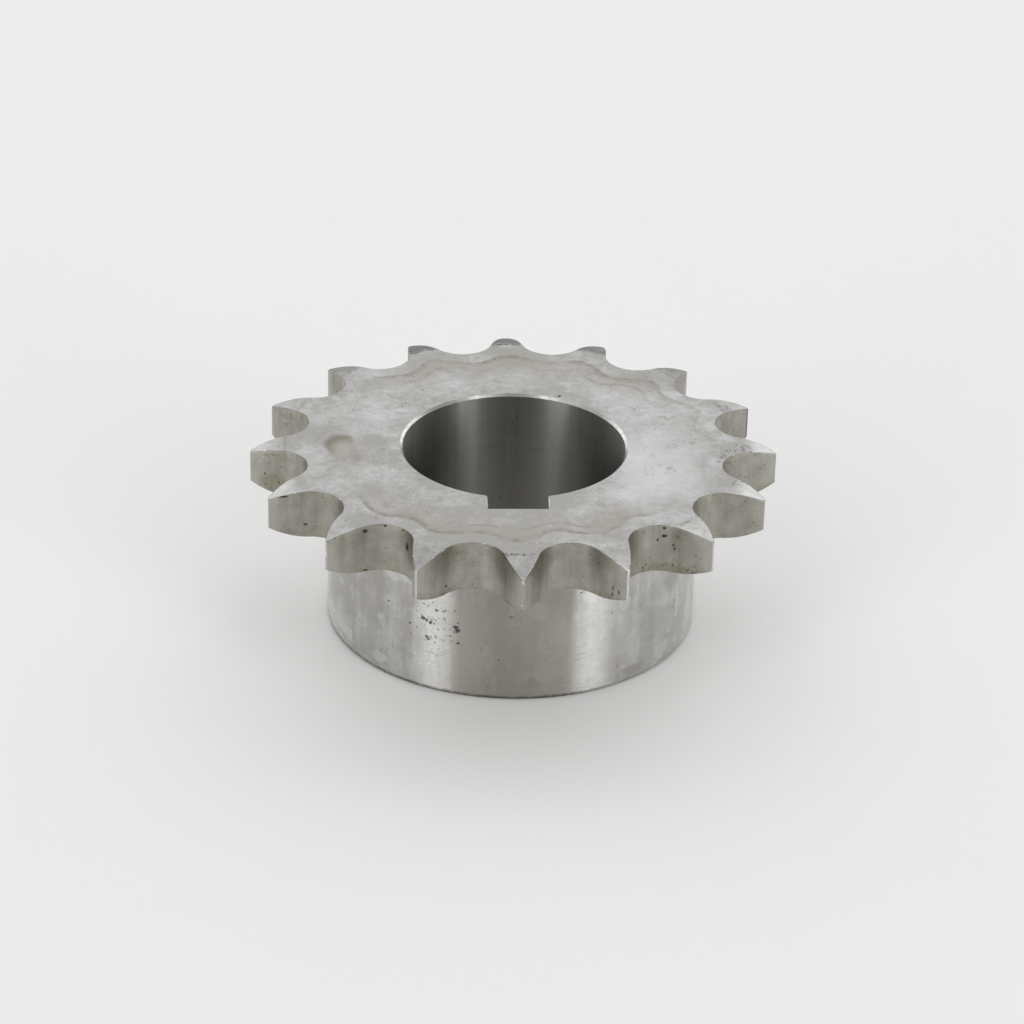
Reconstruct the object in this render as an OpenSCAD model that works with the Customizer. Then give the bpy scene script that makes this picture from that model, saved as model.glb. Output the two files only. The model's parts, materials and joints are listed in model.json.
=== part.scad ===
// Roller chain sprocket: a toothed rim with a hub on one side, a chamfered bore and a keyway,
// turned and milled from one piece of steel. It lies as it rests on a bench, on the free end
// of its hub with the rim on top. The origin is on the axis of the bore, at the free end of
// the hub. One tooth and the keyway point along -Y.

/* [Chain] */
// Number of teeth
teeth = 16; // [15:1:24]
// Pitch of the chain, from the centre of one roller to the next
chain_pitch = 12.7; // [12.4:0.1:15.9]
// Diameter of the rollers of the chain
roller_d = 8.51; // [7.75:0.01:9]

/* [Teeth] */
// Radial play of a roller in its seat between two teeth
seat_play = 0.045; // [0:0.005:0.2]
// Angle over which the seat of a roller stays round
seat_angle = 126.5; // [120:0.5:134]
// Radius of the bulging flank that runs from the seat to the tip of a tooth
flank_r = 17.1; // [14:0.1:22]
// Height of the tip of a tooth above the pitch circle
tip_rise = 2.82; // [2:0.01:2.9]
// Width of the toothed rim along the axis
rim_w = 6.75; // [5:0.05:9]
// Reach of the rounded side relief of the teeth, inwards from their tips
relief_reach = 4.8; // [3.5:0.1:5.5]
// Depth of the side relief at the tips
relief_depth = 1.25; // [1:0.05:1.8]
// Radius of the arc of the side relief
relief_r = 12.7; // [11:0.1:20]

/* [Hub] */
// Length of the whole sprocket along its axis
total_length = 25; // [15:0.5:40]
// Diameter of the hub
hub_d = 50; // [40:0.5:50]
// Chamfer around the free end of the hub
hub_chamfer = 0.3; // [0.1:0.1:1]
// Fillet in the corner between the hub and the rim
hub_fillet = 0.8; // [0.2:0.1:1]

/* [Bore] */
// Diameter of the bore
bore_d = 30; // [15:0.5:36]
// Chamfer at both ends of the bore
bore_chamfer = 0.4; // [0.1:0.1:1]
// Width of the keyway
key_w = 8; // [4:0.5:10]
// Depth of the keyway, from the wall of the bore to its floor
key_depth = 3.3; // [1.5:0.1:4]

/* [Hidden] */
$fn = 180;

// How far a cutting shape runs past the faces that it cuts
overcut = 1;

// Angles of one tooth and of half a roller seat
tooth_step = 360 / teeth;
half_step = tooth_step / 2;
half_seat = seat_angle / 2;

// Circles of the teeth
pitch_r = chain_pitch / (2 * sin(half_step));
seat_r = roller_d / 2 + seat_play;
tip_r = pitch_r + tip_rise;

// The line from the middle of a seat through its end meets the centre line of the tooth here
throat_r = pitch_r * sin(half_seat) / sin(half_seat + half_step);

// Arc of the side relief: it starts on the face of the rim and ends at the tip of the tooth
relief_chord = norm([relief_reach, relief_depth]);
relief_slope = atan2(relief_depth, relief_reach) - asin(relief_chord / (2 * relief_r));
relief_centre = [tip_r - relief_reach - relief_r * sin(relief_slope), -relief_r * cos(relief_slope)];

// Radii and heights of the hub and the bore
hub_r = hub_d / 2;
bore_r = bore_d / 2;
rim_z = total_length - rim_w;

// Point at a radius and an angle
function polar(r, a) = r * [cos(a), sin(a)];

// One gap between two teeth, on the +X axis: a round seat that opens between two bulging flanks
module tooth_gap() {
    translate([pitch_r, 0])
        circle(seat_r);
    difference() {
        polygon([
            [pitch_r, 0],
            polar(throat_r, half_step),
            polar(tip_r + 2 * overcut, half_step),
            polar(tip_r + 2 * overcut, -half_step),
            polar(throat_r, -half_step)
        ]);
        for (side = [-1, 1])
            translate([pitch_r, 0] + polar(seat_r + flank_r, 180 + side * half_seat))
                circle(flank_r);
    }
}

// Outline of the toothed rim, with a tooth on the -Y axis
module rim_outline() {
    difference() {
        circle(tip_r);
        for (i = [0 : teeth - 1])
            rotate(-90 + half_step + i * tooth_step)
                tooth_gap();
    }
}

// Ring that rounds off one side of the teeth, for a rim whose face is at z = 0
module side_relief() {
    rotate_extrude()
        difference() {
            translate([relief_centre.x, -relief_depth - overcut])
                square([tip_r + overcut - relief_centre.x, relief_depth + 2 * overcut]);
            translate(relief_centre)
                circle(relief_r);
        }
}

// Toothed rim, with both sides of its teeth relieved
module rim() {
    difference() {
        translate([0, 0, rim_z])
            linear_extrude(rim_w)
                rim_outline();
        translate([0, 0, total_length])
            side_relief();
        translate([0, 0, rim_z])
            mirror([0, 0, 1])
                side_relief();
    }
}

// Hub, with a chamfered free end and a fillet up to the rim
module hub() {
    rotate_extrude() {
        polygon([
            [0, 0],
            [hub_r - hub_chamfer, 0],
            [hub_r, hub_chamfer],
            [hub_r, total_length - rim_w / 2],
            [0, total_length - rim_w / 2]
        ]);
        translate([hub_r, rim_z - hub_fillet])
            difference() {
                square(hub_fillet);
                translate([hub_fillet, 0])
                    circle(hub_fillet);
            }
    }
}

// Bore through the whole sprocket, with a chamfer at both ends
module bore() {
    mouth_r = bore_r + bore_chamfer + overcut;
    rotate_extrude()
        polygon([
            [0, -overcut],
            [mouth_r, -overcut],
            [bore_r, bore_chamfer],
            [bore_r, total_length - bore_chamfer],
            [mouth_r, total_length + overcut],
            [0, total_length + overcut]
        ]);
}

// Keyway along the whole bore, on its -Y side
module keyway() {
    translate([-key_w / 2, -bore_r - key_depth, -overcut])
        cube([key_w, bore_r + key_depth, total_length + 2 * overcut]);
}

module sprocket() {
    color("silver")
        difference() {
            union() {
                rim();
                hub();
            }
            bore();
            keyway();
        }
}

sprocket();
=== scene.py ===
# %% [markdown]
# # A steel sprocket for roller chain, dressed in Blender
# The packed CAD model is a fixed frame: it says how large the part is and where it lies. This lesson
# rebuilds its skin as one fine mesh with worn edges, and gives every machined surface the finish that its
# tool left. The first cell loads the frame and keeps its box, because the dressed part has to stay inside
# it.

# %% Load the frame
import json
import math

import bpy
import numpy as np
from mathutils import Matrix, Vector


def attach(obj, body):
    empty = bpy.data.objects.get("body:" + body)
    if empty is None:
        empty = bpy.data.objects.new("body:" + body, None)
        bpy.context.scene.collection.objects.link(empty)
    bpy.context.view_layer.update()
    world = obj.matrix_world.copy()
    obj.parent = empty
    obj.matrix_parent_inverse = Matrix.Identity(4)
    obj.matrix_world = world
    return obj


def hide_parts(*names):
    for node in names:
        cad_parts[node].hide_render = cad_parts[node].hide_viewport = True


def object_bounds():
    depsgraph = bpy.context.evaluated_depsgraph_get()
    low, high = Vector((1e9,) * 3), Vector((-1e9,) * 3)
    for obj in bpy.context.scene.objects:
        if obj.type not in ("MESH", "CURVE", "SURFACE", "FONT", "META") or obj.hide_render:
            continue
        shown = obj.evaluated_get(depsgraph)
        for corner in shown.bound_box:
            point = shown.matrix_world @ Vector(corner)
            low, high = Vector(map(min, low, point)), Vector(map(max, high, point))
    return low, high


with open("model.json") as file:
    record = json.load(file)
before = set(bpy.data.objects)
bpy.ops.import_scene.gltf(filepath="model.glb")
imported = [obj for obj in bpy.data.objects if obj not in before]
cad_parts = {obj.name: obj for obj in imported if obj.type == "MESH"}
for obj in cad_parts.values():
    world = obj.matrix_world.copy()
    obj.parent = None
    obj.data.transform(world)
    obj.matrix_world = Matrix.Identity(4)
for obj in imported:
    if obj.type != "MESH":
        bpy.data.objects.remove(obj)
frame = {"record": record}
cad_low, cad_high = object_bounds()
print("CAD box in metres:", tuple(cad_low), tuple(cad_high))

# %% [markdown]
# ## Sizes
# The overall sizes come from the frame, and so do the bore and the circle that the rollers of the chain
# run on. What the frame doesn't say, such as the arcs of a tooth, is written here in millimetres, as on a
# drawing.

# %% Sizes in millimetres
MM = 0.001
mounts = {mount["name"]: mount["dims"] for mount in frame["record"]["mounts"]}
teeth = mounts["chain_teeth"]["count"]
bore_r = mounts["bore"]["r_mm"]
tip_r = (cad_high.x - cad_low.x) / 2 / MM
total_length = (cad_high.z - cad_low.z) / MM
chain_pitch = 12.7
pitch_r = chain_pitch / (2 * math.sin(math.pi / teeth))
seat_r = 4.3
half_seat = math.radians(126.5 / 2)
flank_r = 17.1
rim_w = 6.75
rim_z = total_length - rim_w
relief_reach, relief_depth, relief_r = 4.8, 1.25, 12.7
hub_r, hub_chamfer, hub_fillet = 25.0, 0.3, 0.8
bore_chamfer = 0.33
key_half_w, key_floor = 4.0, bore_r + 3.3
print(f"{teeth} teeth, length {total_length:.2f} mm")
print(f"tip radius {tip_r:.2f} mm, bore radius {bore_r:.2f} mm")

# %% [markdown]
# ## Camera
# A long lens a little above the part, turned slightly to one side of the keyway. The camera aims at a
# point just off the middle of the upper face, and its roll levels the part as the photograph shows it.

# %% Camera
camera_height_deg = 27.146
camera_side_deg = -2.577
camera_distance = 536.5 * MM
camera_roll_deg = 1.417
focal_px, picture_px = 3994.7, 1024
aim_right_px, aim_up_px = 0.398, -67.777
top_centre = Vector((0, 0, total_length * MM))


def turned(vector, degrees, axis):
    return Matrix.Rotation(math.radians(degrees), 3, axis) @ vector


def make_camera():
    rise = math.radians(camera_height_deg)
    back = turned(Vector((0, -math.cos(rise), math.sin(rise))), camera_side_deg, "Z")
    right = turned(Vector((1, 0, 0)), camera_side_deg, "Z")
    up = back.cross(right)
    tilt = math.atan2(aim_up_px, focal_px)
    pan = math.atan2(aim_right_px, focal_px)
    forward = -back * math.cos(tilt) + up * math.sin(tilt)
    up = right.cross(forward)
    forward = forward * math.cos(pan) - right * math.sin(pan)
    right = forward.cross(up)
    roll = Matrix.Rotation(math.radians(camera_roll_deg), 3, -forward)
    right, up = roll @ right, roll @ right.cross(forward)
    data = bpy.data.cameras.new("photo_camera")
    data.sensor_width = 36.0
    data.lens = data.sensor_width * focal_px / picture_px
    data.clip_start, data.clip_end = 0.01, 50.0
    camera = bpy.data.objects.new("photo_camera", data)
    camera.matrix_world = Matrix.Translation(top_centre + back * camera_distance) @ Matrix(
        (right, up, -forward)).transposed().to_4x4()
    bpy.context.scene.collection.objects.link(camera)
    bpy.context.scene.camera = camera
    return camera


camera = make_camera()
print(f"camera lens {camera.data.lens:.1f} mm, at {tuple(round(v, 3) for v in camera.location)} m")

# %% [markdown]
# ## The outline of the teeth
# A roller seats in a round gap, and the flank of the tooth bulges away from that seat in one large arc up
# to the narrow tip. Seen from the axis, every direction meets this outline once, so it can be written as
# a radius for each angle. Both arcs are circles, and a ray meets a circle at a place that a square root
# gives.

# %% Radius of the teeth at an angle
tooth_step = 2 * math.pi / teeth
centres_apart = seat_r + flank_r
flank_x = pitch_r - centres_apart * math.cos(half_seat)
flank_y = centres_apart * math.sin(half_seat)
flank_centre_r, flank_centre_a = math.hypot(flank_x, flank_y), math.atan2(flank_y, flank_x)
seat_end_a = math.atan2(seat_r * math.sin(half_seat), pitch_r - seat_r * math.cos(half_seat))


def ray_to_circle(centre_r, centre_a, radius, angle, side):
    """Distance along a ray to a circle: its near edge for side -1, its far edge for side 1."""
    across = centre_r * np.sin(angle - centre_a)
    return centre_r * np.cos(angle - centre_a) + side * np.sqrt(np.maximum(radius**2 - across**2, 0))


def tooth_radius(angle):
    turn = np.mod((angle + math.pi / 2) / tooth_step, 1)
    from_gap = np.abs(turn - 0.5) * tooth_step
    seat = ray_to_circle(pitch_r, 0, seat_r, from_gap, -1)
    flank = ray_to_circle(flank_centre_r, flank_centre_a, flank_r, from_gap, 1)
    return np.minimum(np.where(from_gap < seat_end_a, seat, flank), tip_r)


root_r = float(tooth_radius(np.array([-math.pi / 2 + tooth_step / 2]))[0])
flank_from_deg = math.degrees(seat_end_a)
print(f"root radius {root_r:.2f} mm, flanks start {flank_from_deg:.2f} degrees from the middle of a gap")

# %% [markdown]
# ## Where to cut the wheel into slices
# The skin is lofted through many slices around the axis. Slices at even angles would be far apart on the
# steep flanks, so they are spaced along the arcs instead. The corners of the keyway get slices of their
# own.

# %% Angles of the slices
seat_slices, flank_slices, land_slices = 12, 14, 3
key_wall_a = math.asin(key_half_w / bore_r)
key_mouth_a = math.asin(key_half_w / (bore_r + bore_chamfer))
key_corner_a = math.atan2(key_half_w, key_floor)


def half_gap_angles():
    """Angles from the middle of a gap to the middle of a tooth."""
    along_seat = np.linspace(0, half_seat, seat_slices, endpoint=False)
    seat = np.arctan2(seat_r * np.sin(along_seat), pitch_r - seat_r * np.cos(along_seat))
    cosine = (flank_centre_r**2 + tip_r**2 - flank_r**2) / (2 * flank_centre_r * tip_r)
    tip_a = flank_centre_a - math.acos(cosine)
    first = math.atan2(-math.sin(half_seat), math.cos(half_seat))
    last = math.atan2(tip_r * math.sin(tip_a) - flank_y, tip_r * math.cos(tip_a) - flank_x)
    along_flank = np.linspace(first, last, flank_slices, endpoint=False)
    flank = np.arctan2(flank_y + flank_r * np.sin(along_flank), flank_x + flank_r * np.cos(along_flank))
    return np.concatenate([seat, flank, np.linspace(tip_a, tooth_step / 2, land_slices)])


def slice_angles():
    half = half_gap_angles()
    gap = np.concatenate([-half[:0:-1], half])[1:]
    middles = -math.pi / 2 + (np.arange(teeth) + 0.5) * tooth_step
    beside_key = np.array([key_wall_a, key_mouth_a, key_corner_a, (key_wall_a + key_corner_a) / 2])
    beside_key = np.concatenate([beside_key, -beside_key]) - math.pi / 2
    every = np.concatenate([(middles[:, None] + gap[None, :]).ravel(), beside_key])
    return np.unique(np.round(np.mod(every + math.pi, 2 * math.pi) - math.pi, 7))


angles = slice_angles()
print(len(angles), "slices around the axis")

# %% [markdown]
# ## Radii of one slice
# Inside, a slice ends at the chamfered bore or, over the keyway, at the walls and floor of that slot. On
# top, the sides of the teeth fall away in an arc, so that the chain climbs on without catching. Every
# outer edge is broken a little. An edge break of even width across the edge is wider along the ray where
# the outline runs steeply.

# %% Inner radius, side relief and edge breaks
relief_chord = math.hypot(relief_reach, relief_depth)
relief_slope = math.atan2(relief_depth, relief_reach) - math.asin(relief_chord / (2 * relief_r))
relief_start_r = tip_r - relief_reach
relief_centre_r = relief_start_r - relief_r * math.sin(relief_slope)
relief_centre_drop = relief_r * math.cos(relief_slope)


def relief_drop(radius):
    """How far the side of a tooth lies below the face of the rim."""
    out = np.clip(radius - relief_centre_r, 0, relief_r)
    drop = relief_centre_drop - np.sqrt(relief_r**2 - out**2)
    return np.where(radius > relief_start_r, np.maximum(drop, 0), 0)


def key_radius(angle):
    """Where a ray leaves the keyway slot; under the bore's radius away from it."""
    off = np.abs(np.mod(angle + math.pi / 2 + math.pi, 2 * math.pi) - math.pi)
    off = np.clip(off, 1e-6, math.pi / 2 - 1e-6)
    return np.minimum(key_half_w / np.sin(off), key_floor / np.cos(off))


def steepness(radius):
    """Length of the outline for each step at right angles to the ray, at each slice."""
    before, after = np.roll(radius, 1), np.roll(radius, -1)
    gap = np.mod(np.roll(angles, -1) - np.roll(angles, 1), 2 * math.pi)
    return np.sqrt(1 + ((after - before) / gap / radius) ** 2)


edge_width, edge_uneven, edge_least, edge_most = 0.06, 0.035, 0.03, 0.16
edge_key = 0.12
most_waves, sine_waves, usual_peak = 150, 14, 4
steepest_tooth, steepest_key = 3.2, 5


def edge_break(seed):
    """Width of a broken edge at each slice, made uneven by a sum of sine waves."""
    draw = np.random.default_rng(seed)
    turns = draw.integers(most_waves // 3, most_waves, sine_waves)
    phases = draw.uniform(0, 2 * math.pi, sine_waves)
    ripple = np.sin(turns[:, None] * angles + phases[:, None]).sum(0) / usual_peak
    return np.clip(edge_width + edge_uneven * ripple, edge_least, edge_most)


outer = tooth_radius(angles)
key = key_radius(angles)
edge_top = edge_break(seed=3)
edge_low = edge_break(seed=4)
outer_steep = np.minimum(steepness(outer), steepest_tooth)
key_steep = np.where(key > bore_r, np.minimum(steepness(key), steepest_key), 1)
print(f"edge breaks from {edge_top.min():.2f} to {edge_top.max():.2f} mm wide")

# %% [markdown]
# ## The rows of a slice
# A slice is one closed loop: up the bore, out over the upper face, down the tooth, in under the rim, down
# the hub and back across its end. Each row is one point of that loop for all slices at once, with the
# name of the surface that starts there, so the finishes can be handed out later.

# %% Rows around one slice
rows = []
bore_cuts, face_cuts, relief_cuts, edge_cuts, flank_cuts = 8, 14, 8, 3, 8
under_relief_cuts, under_cuts, fillet_cuts, hub_cuts, end_cuts = 6, 4, 5, 11, 5


def row(surface, radius, height):
    rows.append((surface, np.broadcast_to(radius, angles.shape), np.broadcast_to(height, angles.shape)))


def cuts(first, last, count):
    """Even steps from first to just before last."""
    return np.linspace(first, last, count, endpoint=False)


def bore_rows():
    row("chamfer", np.maximum(bore_r + bore_chamfer, key + edge_key * key_steep), 0)
    row("chamfer", np.maximum(bore_r + bore_chamfer - edge_key, key), edge_key)
    for height in cuts(bore_chamfer, total_length - bore_chamfer, bore_cuts):
        row("bore", np.maximum(bore_r, key), height)
    row("chamfer", np.maximum(bore_r, key), total_length - bore_chamfer)
    row("chamfer", np.maximum(bore_r + bore_chamfer - edge_key, key), total_length - edge_key)


face_in = np.maximum(bore_r + bore_chamfer, key + edge_key * key_steep)
least_width = 0.12


def face_rows():
    face_out = np.minimum(relief_start_r, outer - edge_top * outer_steep - least_width)
    for share in cuts(0, 1, face_cuts):
        row("face", face_in + (face_out - face_in) * share, total_length)
    last = outer - edge_top * outer_steep
    for share in cuts(0, 1, relief_cuts):
        radius = face_out + (last - face_out) * share
        row("relief", radius, total_length - relief_drop(radius))


def tooth_rows():
    last_top = outer - edge_top * outer_steep
    top = total_length - relief_drop(last_top)
    last_low = outer - edge_low * outer_steep
    low = rim_z + relief_drop(last_low)
    for turn in np.radians(cuts(0, 90, edge_cuts)):
        radius = last_top + edge_top * outer_steep * np.sin(turn)
        row("edge", radius, top - edge_top * (1 - np.cos(turn)))
    for share in np.linspace(0, 1, flank_cuts + 1):
        row("flank", outer, (top - edge_top) * (1 - share) + (low + edge_low) * share)
    for turn in np.radians(cuts(0, 90, edge_cuts))[:0:-1]:
        radius = last_low + edge_low * outer_steep * np.sin(turn)
        row("edge", radius, low + edge_low * (1 - np.cos(turn)))


def under_rows():
    last = outer - edge_low * outer_steep
    relief_in = np.minimum(relief_start_r, last - least_width)
    for share in cuts(1, 0, under_relief_cuts):
        radius = relief_in + (last - relief_in) * share
        row("under", radius, rim_z + relief_drop(radius))
    for share in cuts(1, 0, under_cuts):
        row("under", hub_r + hub_fillet + (relief_in - hub_r - hub_fillet) * share, rim_z)


def hub_rows():
    for turn in np.radians(cuts(0, 90, fillet_cuts)):
        row("hub", hub_r + hub_fillet * (1 - np.sin(turn)), rim_z - hub_fillet * (1 - np.cos(turn)))
    for height in cuts(rim_z - hub_fillet, hub_chamfer, hub_cuts):
        row("hub", hub_r, height)
    row("hub_edge", hub_r, hub_chamfer)
    for share in cuts(1, 0, end_cuts):
        row("hub_end", face_in + (hub_r - hub_chamfer - face_in) * share, 0)


for make in (bore_rows, face_rows, tooth_rows, under_rows, hub_rows):
    make()
print(len(rows), "rows in each slice")

# %% [markdown]
# ## Loft the skin
# The rows and slices make a grid that closes on itself both ways, like the skin of a ring. Each cell of
# the grid is one four-sided face. The mesh stands for the CAD solid, so it rides on the same body and has
# the same sizes.

# %% Loft
surfaces = ["face", "relief", "edge", "flank", "land", "under", "hub", "hub_edge", "hub_end", "bore",
            "chamfer"]
sharp_from = math.radians(38)
tip_tolerance = 0.001


def loft(name):
    radius = np.array([r for _, r, _ in rows])
    height = np.array([h for _, _, h in rows])
    points = np.stack([radius * np.cos(angles), radius * np.sin(angles), height], axis=-1) * MM
    n_rows, n_slices = radius.shape
    first = np.arange(n_rows * n_slices).reshape(n_rows, n_slices)
    up = np.roll(first, -1, axis=0)
    quads = np.stack([first, np.roll(first, -1, axis=1), np.roll(up, -1, axis=1), up], axis=-1)
    mesh = bpy.data.meshes.new(name)
    mesh.from_pydata(points.reshape(-1, 3).tolist(), [], quads.reshape(-1, 4)[:, ::-1].tolist())
    kinds = np.array([[surfaces.index(surface)] * n_slices for surface, _, _ in rows])
    at_tip = outer > tip_r - tip_tolerance
    land = at_tip & np.roll(at_tip, -1)
    kinds[(kinds == surfaces.index("flank")) & land] = surfaces.index("land")
    mesh.polygons.foreach_set("material_index", kinds.ravel())
    mesh.polygons.foreach_set("use_smooth", np.ones(n_rows * n_slices, dtype=bool))
    mesh.set_sharp_from_angle(angle=sharp_from)
    mesh.update()
    return mesh


body = bpy.data.objects.new("sprocket_steel", loft("sprocket_steel"))
bpy.context.scene.collection.objects.link(body)
even = body.modifiers.new("even_shading", "WEIGHTED_NORMAL")
even.keep_sharp = True
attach(body, "root")
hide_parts("sprocket")
print(len(body.data.polygons), "faces in the skin")

# %% [markdown]
# ## A small kit for shader nodes
# A finish is a recipe of textures: clouds, streaks, pits and stains that are mixed into a colour, a
# roughness and a bump. Nodes can be set up one by one, but a few helpers that add a node and hand back
# its output let each recipe read from top to bottom. All places are in millimetres, measured from the
# origin of the part.

# %% Node kit
class Recipe:
    """Adds nodes to one shader tree. A value is a number, a tuple or the output of another node."""

    def __init__(self, tree):
        self.tree = tree

    def add(self, kind, inputs, **settings):
        node = self.tree.nodes.new(kind)
        for name, value in settings.items():
            setattr(node, name, value)
        for name, value in inputs.items():
            self.feed(node.inputs[name], value)
        return node

    def feed(self, socket, value):
        if isinstance(value, bpy.types.NodeSocket):
            self.tree.links.new(value, socket)
        else:
            socket.default_value = value

    def math(self, operation, a, b=0.0, clamp=False):
        return self.add("ShaderNodeMath", {0: a, 1: b}, operation=operation, use_clamp=clamp).outputs[0]

    def vector(self, operation, a, b=(0, 0, 0), c=(0, 0, 0)):
        node = self.add("ShaderNodeVectorMath", {0: a, 1: b, 2: c}, operation=operation)
        return node.outputs["Value" if operation in ("LENGTH", "DISTANCE") else "Vector"]

    def step(self, value, low, high, out_low=0.0, out_high=1.0):
        """Eases from out_low at low to out_high at high; low may be the larger one."""
        inputs = {"Value": value, "From Min": low, "From Max": high, "To Min": out_low, "To Max": out_high}
        return self.add("ShaderNodeMapRange", inputs, interpolation_type="SMOOTHSTEP").outputs["Result"]

    def plus(self, *terms, clamp=False):
        total = terms[0]
        for term in terms[1:-1]:
            total = self.math("ADD", total, term)
        return self.math("ADD", total, terms[-1], clamp)

    def minus(self, a, b, clamp=False):
        return self.math("SUBTRACT", a, b, clamp)

    def times(self, first, *others):
        for other in others:
            first = self.math("MULTIPLY", first, other)
        return first

    def most(self, first, *others):
        for other in others:
            first = self.math("MAXIMUM", first, other)
        return first

    def mix(self, share, a, b):
        return self.add("ShaderNodeMix", {0: share, 6: a, 7: b}, data_type="RGBA").outputs[2]

    def combine(self, x, y, z):
        return self.add("ShaderNodeCombineXYZ", {0: x, 1: y, 2: z}).outputs[0]

    def place(self):
        """The place on the part in millimetres, then its x, y and z, and its distance from the axis."""
        spot = self.add("ShaderNodeTexCoord", {}).outputs["Object"]
        spot = self.vector("MULTIPLY", spot, (1 / MM,) * 3)
        x, y, z = self.add("ShaderNodeSeparateXYZ", {0: spot}).outputs
        return spot, x, y, z, self.vector("LENGTH", self.combine(x, y, 0.0))


def new_finish(name):
    material = bpy.data.materials.new(name)
    material.use_nodes = True
    shader = material.node_tree.nodes["Principled BSDF"]
    shader.inputs["Metallic"].default_value = 1.0
    return material, Recipe(material.node_tree), shader


print("the kit has", sum(callable(tool) for tool in vars(Recipe).values()), "tools")

# %% [markdown]
# ## Marks on metal
# The same few marks turn up on every surface: soft clouds, scattered pits, single spots at a known place,
# and a ragged outline. Each is one function that hands back a mask from 0 to 1. Pits come from cells of a
# Voronoi texture: each cell holds one point, only some cells are used, and each used point gets its own
# width.

# %% Marks
def cloud(r, spot, size, detail=4.0, rough=0.6):
    """Soft noise whose patches are about as wide as size, centred on a half."""
    inputs = {"Vector": spot, "Scale": 1 / size, "Detail": detail, "Roughness": rough}
    return r.add("ShaderNodeTexNoise", inputs).outputs["Fac"]


def grain(r, spot):
    """Grain about as fine as the picture can show."""
    return cloud(r, spot, 0.24, 1.0)


def uneven(r, *layers):
    """A sum of clouds, each of them centred on zero and times its weight."""
    total = 0.0
    for layer, weight in layers:
        total = r.plus(total, r.times(r.minus(layer, 0.5), weight))
    return total


def ragged(r, spot, size, push):
    """The same place, pushed about by noise, so that a mark made there gets a ragged outline."""
    inputs = {"Vector": spot, "Scale": 1 / size, "Detail": 1.0}
    noise = r.add("ShaderNodeTexNoise", inputs).outputs["Color"]
    return r.vector("MULTIPLY_ADD", r.vector("SUBTRACT", noise, (0.5,) * 3), (push,) * 3, spot)


def pits(r, spot, cell, width, share):
    """Scattered round pits: a point in each cell, a share of them used, each up to width across."""
    cells = r.add("ShaderNodeTexVoronoi", {"Vector": spot, "Scale": 1 / cell})
    luck, size, _ = r.add("ShaderNodeSeparateColor", {0: cells.outputs["Color"]}).outputs
    used = r.math("GREATER_THAN", luck, r.minus(1.0, share))
    half_width = r.math("MULTIPLY", r.plus(size, 0.15), width / 2 / cell)
    return r.times(used, r.step(r.math("DIVIDE", cells.outputs["Distance"], half_width), 1.0, 0.5))


def blot(r, spot, centre, reach, soft=0.5):
    """One spot around a centre; reach is its half width along x, y and z."""
    away = r.vector("DIVIDE", r.vector("SUBTRACT", spot, centre), reach)
    return r.step(r.vector("LENGTH", away), 1.0, 1.0 - soft)


def blots(r, spot, places, soft=0.5):
    """Many spots at once: a list of (centre, reach)."""
    return r.most(0.0, *[blot(r, spot, centre, reach, soft) for centre, reach in places])


def at(radius, degrees, height):
    """A place in millimetres from its distance to the axis, its angle and its height."""
    turn = math.radians(degrees)
    return (radius * math.cos(turn), radius * math.sin(turn), height)


def roughen(r, shader, height, depth):
    """A bump as deep as depth, in millimetres, where the height goes from 0 to 1."""
    bump = r.add("ShaderNodeBump", {"Height": height, "Distance": depth * MM, "Strength": 1.0})
    r.feed(shader.inputs["Normal"], bump.outputs[0])


def paint(r, shader, colour, rough):
    r.feed(shader.inputs["Base Color"], colour)
    r.feed(shader.inputs["Roughness"], rough)


black_pit = (0.045, 0.04, 0.035, 1)
print("marks: clouds, ragged outlines, pits, spots and bumps")

# %% [markdown]
# ## The faced upper side
# The upper side was turned flat and then handled and wetted: clean cool grey to the right of the bore,
# duller and browner at the back and the front. Part of the broad patches in the list is painted light and
# shade rather than stain, such as the darker patches where the relief starts on the front teeth. Where a
# film of water dried, it left a tide line that follows the teeth in scallops. A wave of one period for
# each tooth, added to the distance from the axis, draws those scallops.

# %% Stains of the upper side
tide_r, tide_wave = 26.5, 0.9
film_x, film_y = 0.105, 0.995


def scalloped(r, spot, x, y, radius):
    """Distance from the axis, less the scallops of the tide line and some wander."""
    turn = r.math("ARCTAN2", y, x)
    wave = r.math("COSINE", r.math("MULTIPLY", r.plus(turn, math.pi / 2), teeth))
    wander = r.times(r.minus(cloud(r, spot, 8.0, 2.0), 0.5), 4.0)
    return r.plus(r.minus(radius, r.times(wave, tide_wave)), wander)


def ring(r, distance, centre, half_width):
    """A soft ring around a distance."""
    off = r.math("ABSOLUTE", r.minus(distance, centre))
    return r.step(off, half_width, half_width * 0.2)


def tide_marks(r, spot, x, y, radius, patches):
    """The film inside the tide line, and the line itself, which is soft inside and crisp outside."""
    wavy = scalloped(r, spot, x, y, radius)
    along = r.plus(r.times(x, film_x), r.times(y, film_y))
    front_back = r.step(r.math("ABSOLUTE", r.math("DIVIDE", along, radius)), 0.56, 0.80)
    inside = r.step(wavy, tide_r + 0.35, tide_r)
    film = r.times(r.step(wavy, 18.0, tide_r), inside, r.step(front_back, 0.0, 1.0, 0.2, 1.0))
    coarse = r.step(patches, 0.40, 0.54, 0.25, 1.0)
    fine = r.step(cloud(r, spot, 1.2, 3.0), 0.40, 0.60, 0.5, 1.15)
    line = r.times(r.step(wavy, tide_r - 1.5, tide_r - 0.1), inside, r.times(coarse, fine))
    inner = r.times(ring(r, wavy, 23.6, 0.6), r.step(patches, 0.47, 0.58), 0.6)
    right_back = r.times(r.step(x, 17.0, 21.0), r.step(y, -1.0, 3.0), 0.62)
    return film, r.times(r.most(line, inner), r.step(r.most(front_back, right_back), 0.0, 1.0, 0.2, 1.0))


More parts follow.
